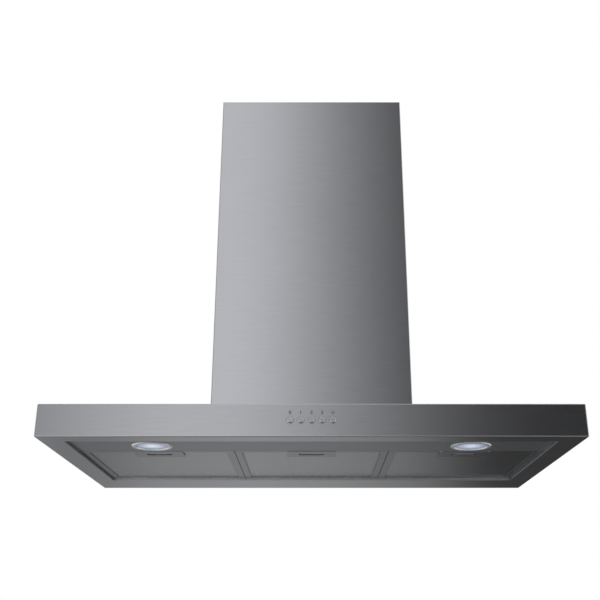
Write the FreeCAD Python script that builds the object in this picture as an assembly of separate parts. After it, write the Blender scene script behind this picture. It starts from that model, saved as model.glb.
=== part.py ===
import FreeCAD, Part
import math
import os

# Wall mount range hood: box canopy, telescopic chimney and centrifugal fan.
# Millimetres. X runs along the width, Y points at the wall, Z points up.
# The wall is the plane y = 0 and the underside of the canopy is z = 0.

Vector = FreeCAD.Vector
along_x = Vector(1, 0, 0)
along_y = Vector(0, 1, 0)
along_z = Vector(0, 0, 1)

os.makedirs("parts", exist_ok=True)

# Overall size
hood_width = 900.0
hood_depth = 520.0
canopy_height = 55.0
chimney_width = 388.0
chimney_depth = 280.0
chimney_height = 740.0

# Clearances and cutting
overrun = 2.0
seat_gap = 0.3
running_gap = 0.05
sliding_gap = 0.1
shank_gap = 0.15

# Canopy shell
canopy_sheet = 1.0
canopy_bend = 2.0
front_rim = 36.0
side_rim = 40.0
rear_rim = 98.0
rim_hem = 5.0

# Underside tray
tray_sheet = 1.0
tray_lap = 3.0
tray_foot = 14.0
tray_ledge = 8.0
bay_setback = 140.0
rear_web_gap = 2.5

# Grease filters
filter_count = 3
filter_gap = 1.2
filter_rear_gap = 1.5
filter_height = 9.0
filter_sheet = 0.8
filter_border = 12.0
mesh_gap = 0.2
mesh_skin = 0.8
mesh_web = 2.0
mesh_fold_pitch = 26.0
tab_width = 30.0
tab_reach = 7.0
tab_place_share = 0.3
tab_slot_rise = 8.5
tab_side_gap = 1.0
filter_bar_width = 24.0
filter_bar_flange = 8.0
filter_bar_sheet = 1.0

# Filter handle and latch
handle_width = 88.0
handle_length = 48.0
handle_inset = 2.5
handle_sheet = 1.0
handle_corner = 4.0
cup_width = 50.0
cup_length = 24.0
cup_height = 6.0
cup_sheet = 1.0
slot_width = 46.0
slot_length = 16.0
latch_width = 20.0
latch_sheet = 1.4
latch_reach = 2.6
latch_lip_width = 40.0
latch_lip_inset = 6.0

# Lamps
lamp_inset = 175.0
lamp_setback = 99.0
bezel_radius = 35.0
bezel_flange = 1.4
bezel_window_radius = 28.0
bezel_neck_radius = 31.2
bezel_neck_height = 14.0
bezel_wall = 1.2
lamp_hole_gap = 0.4
lens_thickness = 2.0
reflector_wall = 0.8
reflector_height = 13.0
reflector_neck_radius = 7.8
reflector_neck_height = 4.0
bulb_radius = 4.5
bulb_tip_radius = 2.0
bulb_tip = 3.5
bulb_length = 9.0
bulb_pin_radius = 0.6
bulb_pin_length = 6.0
bulb_pin_spacing = 4.0
holder_radius = 9.5
holder_height = 10.0
clip_width = 8.0
clip_height = 9.0
clip_foot = 8.0
clip_sheet = 0.8

# Lamp transformer
transformer_length = 80.0
transformer_width = 40.0
transformer_height = 24.0
transformer_corner = 3.0
transformer_ear = 9.0
transformer_ear_height = 3.0
transformer_place = 150.0

# Push buttons and their switch
button_count = 5
button_pitch = 17.5
button_radius = 5.2
button_hole_gap = 0.4
button_proud = 3.5
button_bevel = 1.3
button_travel = 3.0
button_collar_radius = 6.4
button_collar = 1.5
button_stem_radius = 2.5
button_stem = 17.0
button_height = 27.5
switch_ear_width = 124.0
switch_ear = 2.0
switch_width = 96.0
switch_height = 20.0
switch_depth = 30.0
switch_corner = 2.0
terminal_width = 6.3
terminal_thickness = 0.8
terminal_length = 8.0
terminal_pitch = 14.0
terminal_count = 6
stud_radius = 2.0
stud_length = 9.0
nut_radius = 4.0
nut_height = 3.2

# Wall rail
rail_width = 640.0
rail_height = 32.0
rail_base = 12.0
rail_sheet = 2.0
rail_flange = 10.0
wall_hole_spacing = 500.0
wall_hole_radius = 4.5

# Motor box, inside the chimney with room at its sides, front and rear
box_side_room = 29.0
box_front_room = 5.0
box_setback = 7.0
box_height = 262.0
box_sheet = 1.0
box_flange = 15.0
box_bend = 2.0

# Blower scroll: four arcs whose centres step round a small square
scroll_radius = 84.0
scroll_step = 12.0
scroll_wall = 1.2
scroll_half_width = 51.0
scroll_lip = 6.0
scroll_setback = 172.0
outlet_inner_side = 30.0
outlet_height = 118.0
outlet_flange = 10.0
outlet_flange_sheet = 2.0
inlet_radius = 60.0
inlet_throat = 3.5
inlet_flares = 3
rib_count = 8
rib_height = 4.0
rib_width = 1.6
rib_inner_radius = 78.0

# Impeller
impeller_radius = 70.0
blade_inner_radius = 57.0
blade_count = 28
blade_thickness = 1.0
blade_lean_degrees = 9.0
blade_bow = 1.6
impeller_half_width = 46.0
impeller_ring = 1.6
impeller_disc = 1.6
hub_radius = 12.0
hub_length = 20.0
shaft_radius = 4.0
shaft_depth = 30.0

# Motor
motor_radius = 41.0
motor_near = 14.0
motor_far = 80.0
motor_corner = 6.0
motor_boss_radius = 11.0
motor_boss = 3.0
motor_vent_count = 6
motor_vent_radius = 3.0
motor_vent_circle = 26.0
motor_vent_depth = 8.0
bracket_arms = 3
bracket_arm_width = 14.0
bracket_arm_reach = 76.0
bracket_sheet = 2.0
bracket_ring = 2.4
bracket_ring_length = 10.0
bracket_screw_circle = 70.5

# Outlet collar and damper flaps
collar_radius = 75.0
collar_wall = 3.0
collar_height = 45.0
collar_base = 172.0
collar_base_sheet = 3.0
collar_base_corner = 12.0
collar_screw_inset = 8.0
collar_ledge = 3.5
collar_ledge_sheet = 2.0
collar_ledge_height = 15.0
collar_rib = 3.0
collar_rib_height = 8.0
flap_gap = 0.7
flap_sheet = 1.4
flap_hinge_offset = 4.5
flap_hinge_height = 2.5
flap_barrel_radius = 2.4
flap_pin_radius = 1.9
flap_end_gap = 0.6

# Wiring box
wiring_air = 4.0
wiring_width = 90.0
wiring_height = 90.0
wiring_drop = 27.0
wiring_setback = 100.0
wiring_sheet = 1.0
lid_sheet = 1.0
lid_flange = 3.0
terminal_block_size = 16.0
terminal_block_width = 30.0
terminal_block_depth = 12.0
terminal_block_place = 12.0
terminal_block_poles = 3
tunnel_share = 0.2
well_share = 0.25
capacitor_radius = 9.0
capacitor_length = 38.0
capacitor_bevel = 0.8
capacitor_place = 62.0
wiring_margin = 8.0
gland_thread_radius = 7.0
gland_thread = 9.0
gland_hex_flats = 20.0
gland_hex_height = 6.0
gland_dome_radius = 8.5
gland_dome_height = 12.0
gland_dome_bevel = 3.0
gland_bore_radius = 4.2
gland_nut_height = 4.0

# Chimney sections
chimney_sheet = 1.0
chimney_bend = 2.0
chimney_return = 18.0
telescope_gap = 0.6
upper_return = 16.0
upper_length = 700.0
upper_drop = 0.5
vent_count = 5
vent_length = 120.0
vent_height = 6.0
vent_pitch = 16.0
vent_drop = 60.0

# Chimney brackets
clip_air = 3.0
clip_leg_height = 35.0
clip_plate_width = 30.0
clip_plate_sheet = 1.5
clip_inset = 25.0
bracket_step = 19.4
bracket_height = 22.0
bracket_drop = 9.0
bracket_arm = 30.0
bracket_pad = 31.0
bracket_strip = 1.5
bracket_hole_radius = 3.5
bracket_hole_spacing = 240.0

# Sheet-metal screws
screw_head_radius = 3.6
screw_head = 2.0
screw_shank_radius = 1.9
screw_bite = 2.5

# Places that several pieces share
half_width = hood_width / 2
lamp_spacing = hood_width - 2 * lamp_inset
opening_half = half_width - side_rim
opening_front = front_rim - hood_depth
opening_rear = -rear_rim
strip_top = rim_hem + tray_sheet
bay_front = bay_setback - hood_depth
filter_width = (2 * opening_half - (filter_count + 1) * filter_gap) / filter_count
filter_pitch = filter_width + filter_gap
filter_front = bay_front + filter_gap
filter_rear = opening_rear - filter_rear_gap
filter_base = rim_hem
filter_top = filter_base + filter_height
ledge_base = filter_top + seat_gap
ledge_top = ledge_base + tray_sheet
tray_half = opening_half + canopy_sheet
rear_web = opening_rear + canopy_sheet + rear_web_gap
hinge_place = opening_rear - filter_sheet / 2 - seat_gap
tab_end = hinge_place + tab_reach
tab_offset = tab_place_share * filter_width
cup_base = filter_base
cup_top = cup_base + cup_height + cup_sheet
latch_top = cup_base + cup_height - sliding_gap
latch_base = latch_top - latch_sheet
handle_front = filter_front + handle_inset
handle_middle = handle_front + handle_length / 2
cup_front = handle_middle - cup_length / 2
cup_rear = handle_middle + cup_length / 2
slot_front = handle_middle - slot_length / 2
slot_rear = handle_middle + slot_length / 2
latch_rear = slot_rear - latch_lip_inset + latch_sheet
latch_tip = bay_front - tray_sheet - latch_reach + sliding_gap
canopy_top = canopy_height
box_half = chimney_width / 2 - box_side_room
box_rear = -box_setback
box_front = box_front_room - chimney_depth
box_top = canopy_top + box_height
box_opening_half = box_half - box_flange
axis_place = -scroll_setback
axis_height = box_top - box_sheet - outlet_height
axle = Vector(0, axis_place, axis_height)
outlet_far_side = scroll_radius + 2 * scroll_step + scroll_step / 2
outlet_front = axis_place + outlet_inner_side
outlet_rear = axis_place + outlet_far_side
collar_place = (outlet_front + outlet_rear) / 2
collar_seat = box_top + collar_base_sheet
collar_bore = collar_radius - collar_wall
ledge_height = collar_seat + collar_ledge_height
flap_axis_height = ledge_height + flap_hinge_height
side_wall = scroll_half_width + scroll_wall
wiring_face = -box_half
wiring_outer = wiring_air + lid_sheet + chimney_sheet - chimney_width / 2
wiring_rear = -wiring_setback
wiring_front = wiring_rear - wiring_width
wiring_top = box_top - wiring_drop
wiring_base = wiring_top - wiring_height
gland_x = (wiring_face + wiring_outer) / 2
gland_y = (wiring_front + wiring_rear) / 2
chimney_half = chimney_width / 2
chimney_top = canopy_top + chimney_height
chimney_inner = chimney_half - chimney_sheet
clip_front = clip_inset - chimney_depth
clip_rear = clip_front + clip_plate_width
clip_middle = (clip_front + clip_rear) / 2
clip_foot_end = box_half + clip_air
upper_half = chimney_inner - telescope_gap
upper_inner = upper_half - chimney_sheet
upper_front = chimney_sheet + telescope_gap - chimney_depth
upper_rear = -chimney_sheet - telescope_gap
upper_top = chimney_top - upper_drop
bracket_top = upper_top - bracket_drop
bracket_back_half = upper_inner - bracket_step
front_inner = canopy_sheet - hood_depth


# Small helpers


def block(x_limits, y_limits, z_limits):
    corner = Vector(x_limits[0], y_limits[0], z_limits[0])
    length = x_limits[1] - x_limits[0]
    depth = y_limits[1] - y_limits[0]
    height = z_limits[1] - z_limits[0]
    return Part.makeBox(length, depth, height, corner)


def both_ways(reach):
    return (-reach, reach)


def cylinder(radius, base, axis, length):
    return Part.makeCylinder(radius, length, base, axis)


def tube(outer, inner, base, axis, length):
    bore = cylinder(inner, base - axis * overrun, axis, length + 2 * overrun)
    return cylinder(outer, base, axis, length).cut(bore)


def join(shapes):
    return shapes[0].fuse(shapes[1:]).removeSplitter()


def moved(shape, x_place):
    copy = shape.copy()
    copy.translate(Vector(x_place, 0, 0))
    return copy


def mirrored(shape):
    return shape.mirror(Vector(0, 0, 0), along_x)


def save(shape, node):
    shape.exportStep("parts/" + node + ".step")


def spread(count, pitch):
    first = -pitch * (count - 1) / 2
    return [first + pitch * index for index in range(count)]


def filter_places():
    return spread(filter_count, filter_pitch)


def round_edges(shape, radius, chooses):
    edges = [edge for edge in shape.Edges if chooses(edge.CenterOfMass)]
    return shape.makeFillet(radius, edges)


def bevel_edges(shape, size, chooses):
    edges = [edge for edge in shape.Edges if chooses(edge.CenterOfMass)]
    return shape.makeChamfer(size, edges)


def hexagon(radius, base, axis, height):
    """Hexagonal prism on a base point, along an axis."""
    corners = []
    for corner in range(6):
        turn = math.pi / 6 + math.pi * corner / 3
        corners.append(Vector(radius * math.cos(turn), radius * math.sin(turn), 0))
    outline = Part.makePolygon(corners + corners[:1])
    prism = Part.Face(outline).extrude(Vector(0, 0, height))
    prism.Placement = FreeCAD.Placement(base, FreeCAD.Rotation(along_z, axis))
    return prism


def screw(seat, axis):
    """Hexagonal head on the seat, shank running on along the axis."""
    head = hexagon(screw_head_radius, seat - axis * screw_head, axis, screw_head)
    shank = cylinder(screw_shank_radius, seat, axis, screw_bite + canopy_sheet * 2)
    return head.fuse(shank)


def screw_hole(seat, axis):
    start = seat - axis * overrun
    depth = screw_bite + canopy_sheet * 2 + 2 * overrun
    return cylinder(screw_shank_radius + shank_gap, start, axis, depth)


# Screw places: (seat of the head, direction of the shank)


def box_screws():
    inset = box_half - box_flange / 2
    seats = []
    for x_place in both_ways(inset):
        for y_place in (box_front + box_flange * 2, box_rear - box_flange * 2):
            seats.append((Vector(x_place, y_place, canopy_top - canopy_sheet), along_z))
    return seats


def outlet_screws():
    reach = side_wall + outlet_flange / 2
    seat = box_top - box_sheet - outlet_flange_sheet
    quarter = (outlet_rear - outlet_front) / 4
    seats = []
    for x_place in both_ways(reach):
        for y_place in (collar_place - quarter, collar_place + quarter):
            seats.append((Vector(x_place, y_place, seat), along_z))
    return seats


def collar_screws():
    reach = collar_base / 2 - collar_screw_inset
    seats = []
    for x_place in both_ways(reach):
        for y_step in both_ways(reach):
            seat = Vector(x_place, collar_place + y_step, collar_seat)
            seats.append((seat, -along_z))
    return seats


def motor_screws():
    seats = []
    for arm in range(bracket_arms):
        turn = math.pi / 2 + 2 * math.pi * arm / bracket_arms
        y_place = axis_place + bracket_screw_circle * math.cos(turn)
        z_place = axis_height + bracket_screw_circle * math.sin(turn)
        seats.append((Vector(-side_wall - bracket_sheet, y_place, z_place), along_x))
    return seats


def clip_base_screws():
    z_place = canopy_top + clip_plate_sheet
    x_place = (chimney_inner + clip_foot_end) / 2
    return [(Vector(x, clip_middle, z_place), -along_z) for x in both_ways(x_place)]


def clip_side_screws():
    z_place = canopy_top + clip_leg_height / 2
    return [
        (Vector(-chimney_half, clip_middle, z_place), along_x),
        (Vector(chimney_half, clip_middle, z_place), -along_x),
    ]


def wiring_screws():
    x_place = wiring_face - wiring_sheet
    seats = []
    for y_place in (wiring_front + wiring_margin, wiring_rear - wiring_margin):
        seats.append((Vector(x_place, y_place, wiring_base + wiring_margin), along_x))
    return seats


def all_screws():
    return (box_screws() + outlet_screws() + collar_screws() + motor_screws()
            + clip_base_screws() + clip_side_screws() + wiring_screws())


def drilled(shape, places):
    holes = [screw_hole(seat, axis) for seat, axis in places]
    return shape.cut(holes)


# Canopy


def canopy_block():
    """The canopy's outer shape, with its folded edges rounded."""
    outer = block(both_ways(half_width), (-hood_depth, 0), (0, canopy_height))
    return round_edges(outer, canopy_bend, lambda middle: middle.y < -overrun)


def within_walls(base, top):
    """Block that fills the canopy from wall to wall between two heights."""
    return block(
        both_ways(half_width - canopy_sheet),
        (front_inner, -canopy_sheet),
        (base, top),
    )


def canopy_shell():
    """Folded walls, closed below by an inward rim with an upturned hem.

    The bends are rounded outside and square inside.
    """
    shell = canopy_block().cut(within_walls(canopy_sheet, canopy_height + overrun))
    opening = block(
        both_ways(opening_half),
        (opening_front, opening_rear),
        (-overrun, rim_hem + overrun),
    )
    hem = block(
        both_ways(opening_half + canopy_sheet),
        (opening_front - canopy_sheet, opening_rear + canopy_sheet),
        (0, rim_hem),
    )
    shell = shell.fuse(hem).cut(opening)
    holes = []
    for x_place in spread(button_count, button_pitch):
        start = Vector(x_place, -hood_depth - overrun, button_height)
        radius = button_radius + button_hole_gap
        holes.append(cylinder(radius, start, along_y, canopy_sheet + 2 * overrun))
    holes += wall_holes()
    return shell.cut(holes).removeSplitter()


def canopy_panel():
    """Top panel welded edge to edge inside the walls, open up to the motor box."""
    panel = canopy_block().common(
        within_walls(canopy_height - canopy_sheet, canopy_height + overrun)
    )
    air_way = block(
        both_ways(box_opening_half),
        (box_front + box_flange, box_rear - box_flange),
        (canopy_height - canopy_sheet - overrun, canopy_height + overrun),
    )
    return drilled(panel.cut(air_way), box_screws() + clip_base_screws()).removeSplitter()


def wall_holes():
    start = -canopy_sheet - rail_sheet - overrun
    length = canopy_sheet + rail_sheet + 2 * overrun
    height = rail_base + rail_height / 2
    return [
        cylinder(wall_hole_radius, Vector(x, start, height), along_y, length)
        for x in both_ways(wall_hole_spacing / 2)
    ]


def wall_rail():
    """Stiffening angle behind the rear wall, drilled for the wall bolts."""
    plate = block(
        both_ways(rail_width / 2),
        (-canopy_sheet - rail_sheet, -canopy_sheet),
        (rail_base, rail_base + rail_height),
    )
    flange = block(
        both_ways(rail_width / 2),
        (-canopy_sheet - rail_sheet - rail_flange, -canopy_sheet),
        (rail_base + rail_height - rail_sheet, rail_base + rail_height),
    )
    return join([plate, flange]).cut(wall_holes())


def underside_tray():
    """Lamp strip at the front and the bay that the filters close."""
    strip = block(
        both_ways(opening_half + tray_lap),
        (opening_front - canopy_sheet - tray_lap, bay_front),
        (rim_hem, strip_top),
    )
    front_web = block(
        both_ways(tray_half + tray_sheet),
        (bay_front - tray_sheet, bay_front),
        (rim_hem, ledge_top),
    )
    rear_face = rear_web + tray_sheet
    rear_foot = block(
        both_ways(tray_half + tray_foot),
        (rear_web, rear_web + tray_foot),
        (canopy_sheet, canopy_sheet + tray_sheet),
    )
    back_web = block(
        both_ways(tray_half + tray_sheet), (rear_web, rear_face), (canopy_sheet, ledge_top)
    )
    rim = block(
        both_ways(tray_half + tray_sheet),
        (bay_front - tray_sheet, rear_face),
        (ledge_base, ledge_top),
    )
    rim_opening = block(
        both_ways(tray_half - tray_ledge),
        (bay_front + tray_ledge, rear_web - tray_ledge - rear_web_gap),
        (ledge_base - overrun, ledge_top + overrun),
    )
    side_web = block(
        (tray_half, tray_half + tray_sheet),
        (bay_front - tray_sheet, rear_face),
        (canopy_sheet, ledge_top),
    )
    side_foot = block(
        (tray_half, tray_half + tray_foot),
        (bay_front, rear_face),
        (canopy_sheet, canopy_sheet + tray_sheet),
    )
    sides = [side_web, side_foot, mirrored(side_web), mirrored(side_foot)]
    pieces = [strip, front_web, rear_foot, back_web, rim.cut(rim_opening)] + sides
    return join(pieces).cut(tray_holes())


def tray_holes():
    holes = []
    for x_place in both_ways(lamp_spacing / 2):
        start = Vector(x_place, lamp_setback - hood_depth, rim_hem - overrun)
        radius = bezel_neck_radius + lamp_hole_gap
        holes.append(cylinder(radius, start, along_z, tray_sheet + 2 * overrun))
    for middle in filter_places():
        keeper = latch_width / 2 + tab_side_gap
        holes.append(
            block(
                (middle - keeper, middle + keeper),
                (bay_front - tray_sheet - overrun, bay_front + overrun),
                (latch_base - sliding_gap, latch_top + sliding_gap),
            )
        )
        for side in both_ways(tab_offset):
            reach = tab_width / 2 + tab_side_gap
            holes.append(
                block(
                    (middle + side - reach, middle + side + reach),
                    (rear_web - overrun, rear_web + tray_sheet + overrun),
                    (filter_base - tab_side_gap, filter_base + tab_slot_rise),
                )
            )
    return holes


def filter_bar():
    """Upturned channel over the joint between two filters."""
    front = bay_front - tray_sheet
    rear = rear_web + tray_sheet
    half = filter_bar_width / 2
    inner_half = half - filter_bar_sheet
    base = ledge_top + filter_bar_sheet
    top = ledge_top + filter_bar_flange
    channel = block(both_ways(half), (front, rear), (ledge_top, top))
    hollow = block(
        both_ways(inner_half), (front - overrun, rear + overrun), (base, top + overrun)
    )
    return channel.cut(hollow)


# Grease filters, drawn on the centre line and moved to their places


def filter_frame():
    """Folded channel frame with two rear tabs and a slot for the latch."""
    half = filter_width / 2
    outer = block(both_ways(half), (filter_front, filter_rear), (filter_base, filter_top))
    channel = block(
        both_ways(half - filter_sheet),
        (filter_front + filter_sheet, filter_rear - filter_sheet),
        (filter_base + filter_sheet, filter_top - filter_sheet),
    )
    window = block(
        both_ways(half - filter_border),
        (filter_front + filter_border, filter_rear - filter_border),
        (filter_base - overrun, filter_top + overrun),
    )
    tabs = []
    for side in both_ways(tab_offset):
        tabs.append(
            block(
                (side - tab_width / 2, side + tab_width / 2),
                (filter_rear - filter_border, tab_end),
                (filter_base, filter_base + filter_sheet),
            )
        )
    frame = outer.cut([channel, window]).fuse(tabs).removeSplitter()
    return frame.cut(latch_way(filter_front - overrun, filter_front + filter_border))


def latch_way(start, end):
    reach = latch_width / 2 + sliding_gap
    return block(
        both_ways(reach), (start, end), (latch_base - sliding_gap, latch_top + sliding_gap)
    )


def filter_mesh():
    """Two mesh skins over a folded core, cut away round the latch cup."""
    inset = filter_sheet + mesh_gap
    half = filter_width / 2 - inset
    base = filter_base + inset
    top = filter_top - inset
    front = filter_front + inset
    rear = filter_rear - inset
    pack = block(both_ways(half), (front, rear), (base, top))
    cup_room = block(
        both_ways(cup_width / 2 + cup_sheet + mesh_gap),
        (cup_front - cup_sheet - mesh_gap, cup_rear + cup_sheet + mesh_gap),
        (base - overrun, top + overrun),
    )
    bar_room = block(
        both_ways(latch_width / 2 + mesh_gap),
        (front - overrun, cup_front),
        (base - overrun, top + overrun),
    )
    return pack.cut(mesh_channels(pack) + [cup_room, bar_room])


def mesh_channels(pack):
    """Triangular channels between the skins, upright and inverted in turn."""
    box = pack.BoundBox
    low = box.ZMin + mesh_skin
    high = box.ZMax - mesh_skin
    middle = (box.YMin + box.YMax) / 2
    count = int((box.YLength - filter_border) / mesh_fold_pitch)
    half = mesh_fold_pitch / 2
    channels = []
    for places, wide, narrow in (
        (spread(count, mesh_fold_pitch), low, high),
        (spread(count - 1, mesh_fold_pitch), high, low),
    ):
        for place in places:
            y_place = middle + place
            corners = [
                Vector(box.XMin - overrun, y_place - half + mesh_web, wide),
                Vector(box.XMin - overrun, y_place + half - mesh_web, wide),
                Vector(box.XMin - overrun, y_place, narrow),
            ]
            outline = Part.makePolygon(corners + corners[:1])
            length = box.XLength + 2 * overrun
            channels.append(Part.Face(outline).extrude(Vector(length, 0, 0)))
    return channels


def filter_handle():
    """Plate with a finger slot below a shallow cup."""
    plate = block(
        both_ways(handle_width / 2),
        (handle_front, handle_front + handle_length),
        (filter_base - handle_sheet, filter_base),
    )
    plate = round_edges(plate, handle_corner, is_upright(plate, handle_width / 2))
    cup = block(
        both_ways(cup_width / 2 + cup_sheet),
        (cup_front - cup_sheet, cup_rear + cup_sheet),
        (cup_base, cup_top),
    )
    room = block(
        both_ways(cup_width / 2),
        (cup_front, cup_rear),
        (cup_base - handle_sheet / 2, cup_base + cup_height),
    )
    slot = finger_slot(filter_base - handle_sheet - overrun, handle_sheet + overrun)
    floor = block(
        both_ways(cup_width / 2 + cup_sheet),
        (cup_front - cup_sheet, cup_rear + cup_sheet),
        (filter_base - handle_sheet, filter_base),
    )
    cup = cup.cut([room, latch_way(cup_front - cup_sheet - overrun, cup_front + overrun)])
    return join([plate, floor, cup]).cut(slot)


def is_upright(shape, reach):
    """Chooses the four upright edges at the corners of a plate."""
    box = shape.BoundBox
    middle_height = (box.ZMin + box.ZMax) / 2
    slack = box.ZLength / 4

    def chooses(middle):
        at_side = abs(abs(middle.x) - reach) < slack
        return at_side and abs(middle.z - middle_height) < slack and (
            middle.y < box.YMin + slack or middle.y > box.YMax - slack
        )

    return chooses


def finger_slot(base, height):
    radius = slot_length / 2
    run = slot_width / 2 - radius
    middle = block(both_ways(run), (slot_front, slot_rear), (base, base + height))
    ends = [
        cylinder(radius, Vector(x, handle_middle, base), along_z, height)
        for x in both_ways(run)
    ]
    return middle.fuse(ends)


def filter_latch():
    """Flat bolt with a turned-down finger lip."""
    bar = block(both_ways(latch_width / 2), (latch_tip, latch_rear), (latch_base, latch_top))
    lip = block(
        both_ways(latch_lip_width / 2),
        (latch_rear - latch_sheet, latch_rear),
        (cup_base + seat_gap, latch_top),
    )
    return join([bar, lip])


# Lamps, drawn at the origin of the lamp and moved into the strip


def lamp_point(x_place):
    return Vector(x_place, lamp_setback - hood_depth, rim_hem)


def at_lamp(shape, x_place):
    copy = shape.copy()
    copy.translate(lamp_point(x_place))
    return copy


def revolved(points):
    """Solid turned from radius and height pairs."""
    corners = [Vector(radius, 0, height) for radius, height in points]
    outline = Part.makePolygon(corners + corners[:1])
    return Part.Face(outline).revolve(Vector(0, 0, 0), along_z, 360)


def lamp_bezel():
    neck_inner = bezel_neck_radius - bezel_wall
    return revolved([
        (bezel_window_radius, 0),
        (bezel_window_radius + bezel_flange / 2, -bezel_flange),
        (bezel_radius - bezel_flange, -bezel_flange),
        (bezel_radius, 0),
        (bezel_neck_radius, 0),
        (bezel_neck_radius, bezel_neck_height),
        (neck_inner, bezel_neck_height),
        (neck_inner, 0),
    ])


def lamp_lens():
    radius = bezel_neck_radius - bezel_wall - seat_gap
    return cylinder(radius, Vector(0, 0, 0), along_z, lens_thickness)


def lamp_reflector():
    """Reflector funnel standing on the lens, with a neck for the bulb."""
    rim = bezel_neck_radius - bezel_wall - seat_gap
    neck = reflector_neck_radius
    wall = reflector_wall
    top = reflector_height
    return revolved([
        (rim, lens_thickness),
        (neck, top),
        (neck, bulb_base()),
        (neck - wall, bulb_base()),
        (neck - wall, top - wall),
        (rim - wall, lens_thickness),
    ])


def bulb_base():
    return reflector_height + reflector_neck_height


def lamp_bulb():
    """Capsule bulb with two pins that enter the holder."""
    top = bulb_base()
    start = top - bulb_length
    body = revolved([
        (0, top),
        (bulb_radius, top),
        (bulb_radius, start),
        (bulb_tip_radius, start - bulb_tip),
        (0, start - bulb_tip),
    ])
    pins = [
        cylinder(bulb_pin_radius, Vector(x, 0, top), along_z, bulb_pin_length)
        for x in both_ways(bulb_pin_spacing / 2)
    ]
    return body.fuse(pins)


def lamp_holder():
    base = bulb_base()
    body = cylinder(holder_radius, Vector(0, 0, base), along_z, holder_height)
    holes = [
        cylinder(
            bulb_pin_radius + shank_gap,
            Vector(x, 0, base - overrun),
            along_z,
            bulb_pin_length + 2 * overrun,
        )
        for x in both_ways(bulb_pin_spacing / 2)
    ]
    return body.cut(holes)


def lamp_clips():
    """Two spring angles that hold the bezel down on the strip."""
    face = bezel_neck_radius + seat_gap
    base = tray_sheet
    leg = block(
        (face, face + clip_sheet), both_ways(clip_width / 2), (base, base + clip_height)
    )
    foot = block(
        (face, face + clip_foot), both_ways(clip_width / 2), (base, base + clip_sheet)
    )
    clip = join([leg, foot])
    return Part.makeCompound([clip, mirrored(clip)])


def lamp_transformer():
    middle = lamp_setback - hood_depth
    y_limits = (middle - transformer_width / 2, middle + transformer_width / 2)
    half = transformer_length / 2
    x_limits = (transformer_place - half, transformer_place + half)
    body = block(x_limits, y_limits, (strip_top, strip_top + transformer_height))
    body = bevel_edges(
        body, transformer_corner, lambda point: point.z > strip_top + transformer_ear_height
    )
    ear = block(
        (x_limits[0] - transformer_ear, x_limits[1] + transformer_ear),
        (middle - transformer_ear, middle + transformer_ear),
        (strip_top, strip_top + transformer_ear_height),
    )
    return join([body, ear])


# Push buttons and switch


def push_button():
    tip = -hood_depth - button_proud
    collar_face = front_inner + sliding_gap
    cap = cylinder(
        button_radius, Vector(0, tip, button_height), along_y, collar_face - tip
    )
    cap = bevel_edges(cap, button_bevel, lambda point: point.y < tip + button_bevel / 2)
    collar = cylinder(
        button_collar_radius, Vector(0, collar_face, button_height), along_y, button_collar
    )
    stem_start = collar_face + button_collar
    stem = cylinder(
        button_stem_radius, Vector(0, stem_start, button_height), along_y, button_stem
    )
    return cap.fuse([collar, stem])


def switch_studs_places():
    reach = (switch_ear_width + switch_width) / 4
    return both_ways(reach)


def switch_body():
    """Switch bank with a stepped bore for each button and blade terminals."""
    half_height = switch_height / 2
    z_limits = (button_height - half_height, button_height + half_height)
    ears = block(
        both_ways(switch_ear_width / 2), (front_inner, front_inner + switch_ear), z_limits
    )
    body = block(
        both_ways(switch_width / 2), (front_inner, front_inner + switch_depth), z_limits
    )
    body = round_edges(
        body, switch_corner, lambda point: point.y > front_inner + switch_depth - overrun
    )
    blades = []
    for x_place in spread(terminal_count, terminal_pitch):
        blades.append(
            block(
                (x_place - terminal_width / 2, x_place + terminal_width / 2),
                (front_inner + switch_depth - overrun,
                 front_inner + switch_depth + terminal_length),
                (button_height - terminal_thickness / 2,
                 button_height + terminal_thickness / 2),
            )
        )
    bores = []
    start = front_inner - overrun
    room = sliding_gap + button_collar + button_travel + seat_gap
    guide = room + button_stem + seat_gap
    for x_place in spread(button_count, button_pitch):
        point = Vector(x_place, start, button_height)
        collar_bore_radius = button_collar_radius + button_hole_gap
        bores.append(cylinder(collar_bore_radius, point, along_y, room + overrun))
        guide_radius = button_stem_radius + running_gap
        bores.append(cylinder(guide_radius, point, along_y, guide + overrun))
    for x_place in switch_studs_places():
        point = Vector(x_place, start, button_height)
        depth = switch_ear + 2 * overrun
        bores.append(cylinder(stud_radius + shank_gap, point, along_y, depth))
    return join([ears, body] + blades).cut(bores)


def switch_studs():
    """Welded studs with hexagon nuts that clamp the switch ears."""
    pieces = []
    for x_place in switch_studs_places():
        stud = cylinder(
            stud_radius, Vector(x_place, front_inner, button_height), along_y, stud_length
        )
        nut_seat = Vector(x_place, front_inner + switch_ear, button_height)
        pieces.append(stud.fuse(hexagon(nut_radius, nut_seat, along_y, nut_height)))
    return Part.makeCompound(pieces)


# Motor box and blower


def motor_box():
    """Galvanised box with an inward bottom flange and the outlet in its top."""
    outer = block(both_ways(box_half), (box_front, box_rear), (canopy_top, box_top))
    outer = round_edges(
        outer, box_bend, lambda point: abs(abs(point.x) - box_half) < overrun
        and canopy_top + overrun < point.z < box_top - overrun
    )
    inner = block(
        both_ways(box_half - box_sheet),
        (box_front + box_sheet, box_rear - box_sheet),
        (canopy_top + box_sheet, box_top - box_sheet),
    )
    bottom = block(
        both_ways(box_opening_half),
        (box_front + box_flange, box_rear - box_flange),
        (canopy_top - overrun, canopy_top + box_sheet + overrun),
    )
    outlet = block(
        both_ways(scroll_half_width),
        (outlet_front, outlet_rear),
        (box_top - box_sheet - overrun, box_top + overrun),
    )
    box = outer.cut([inner, bottom, outlet])
    places = box_screws() + outlet_screws() + collar_screws() + wiring_screws()
    return drilled(box, places)


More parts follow.
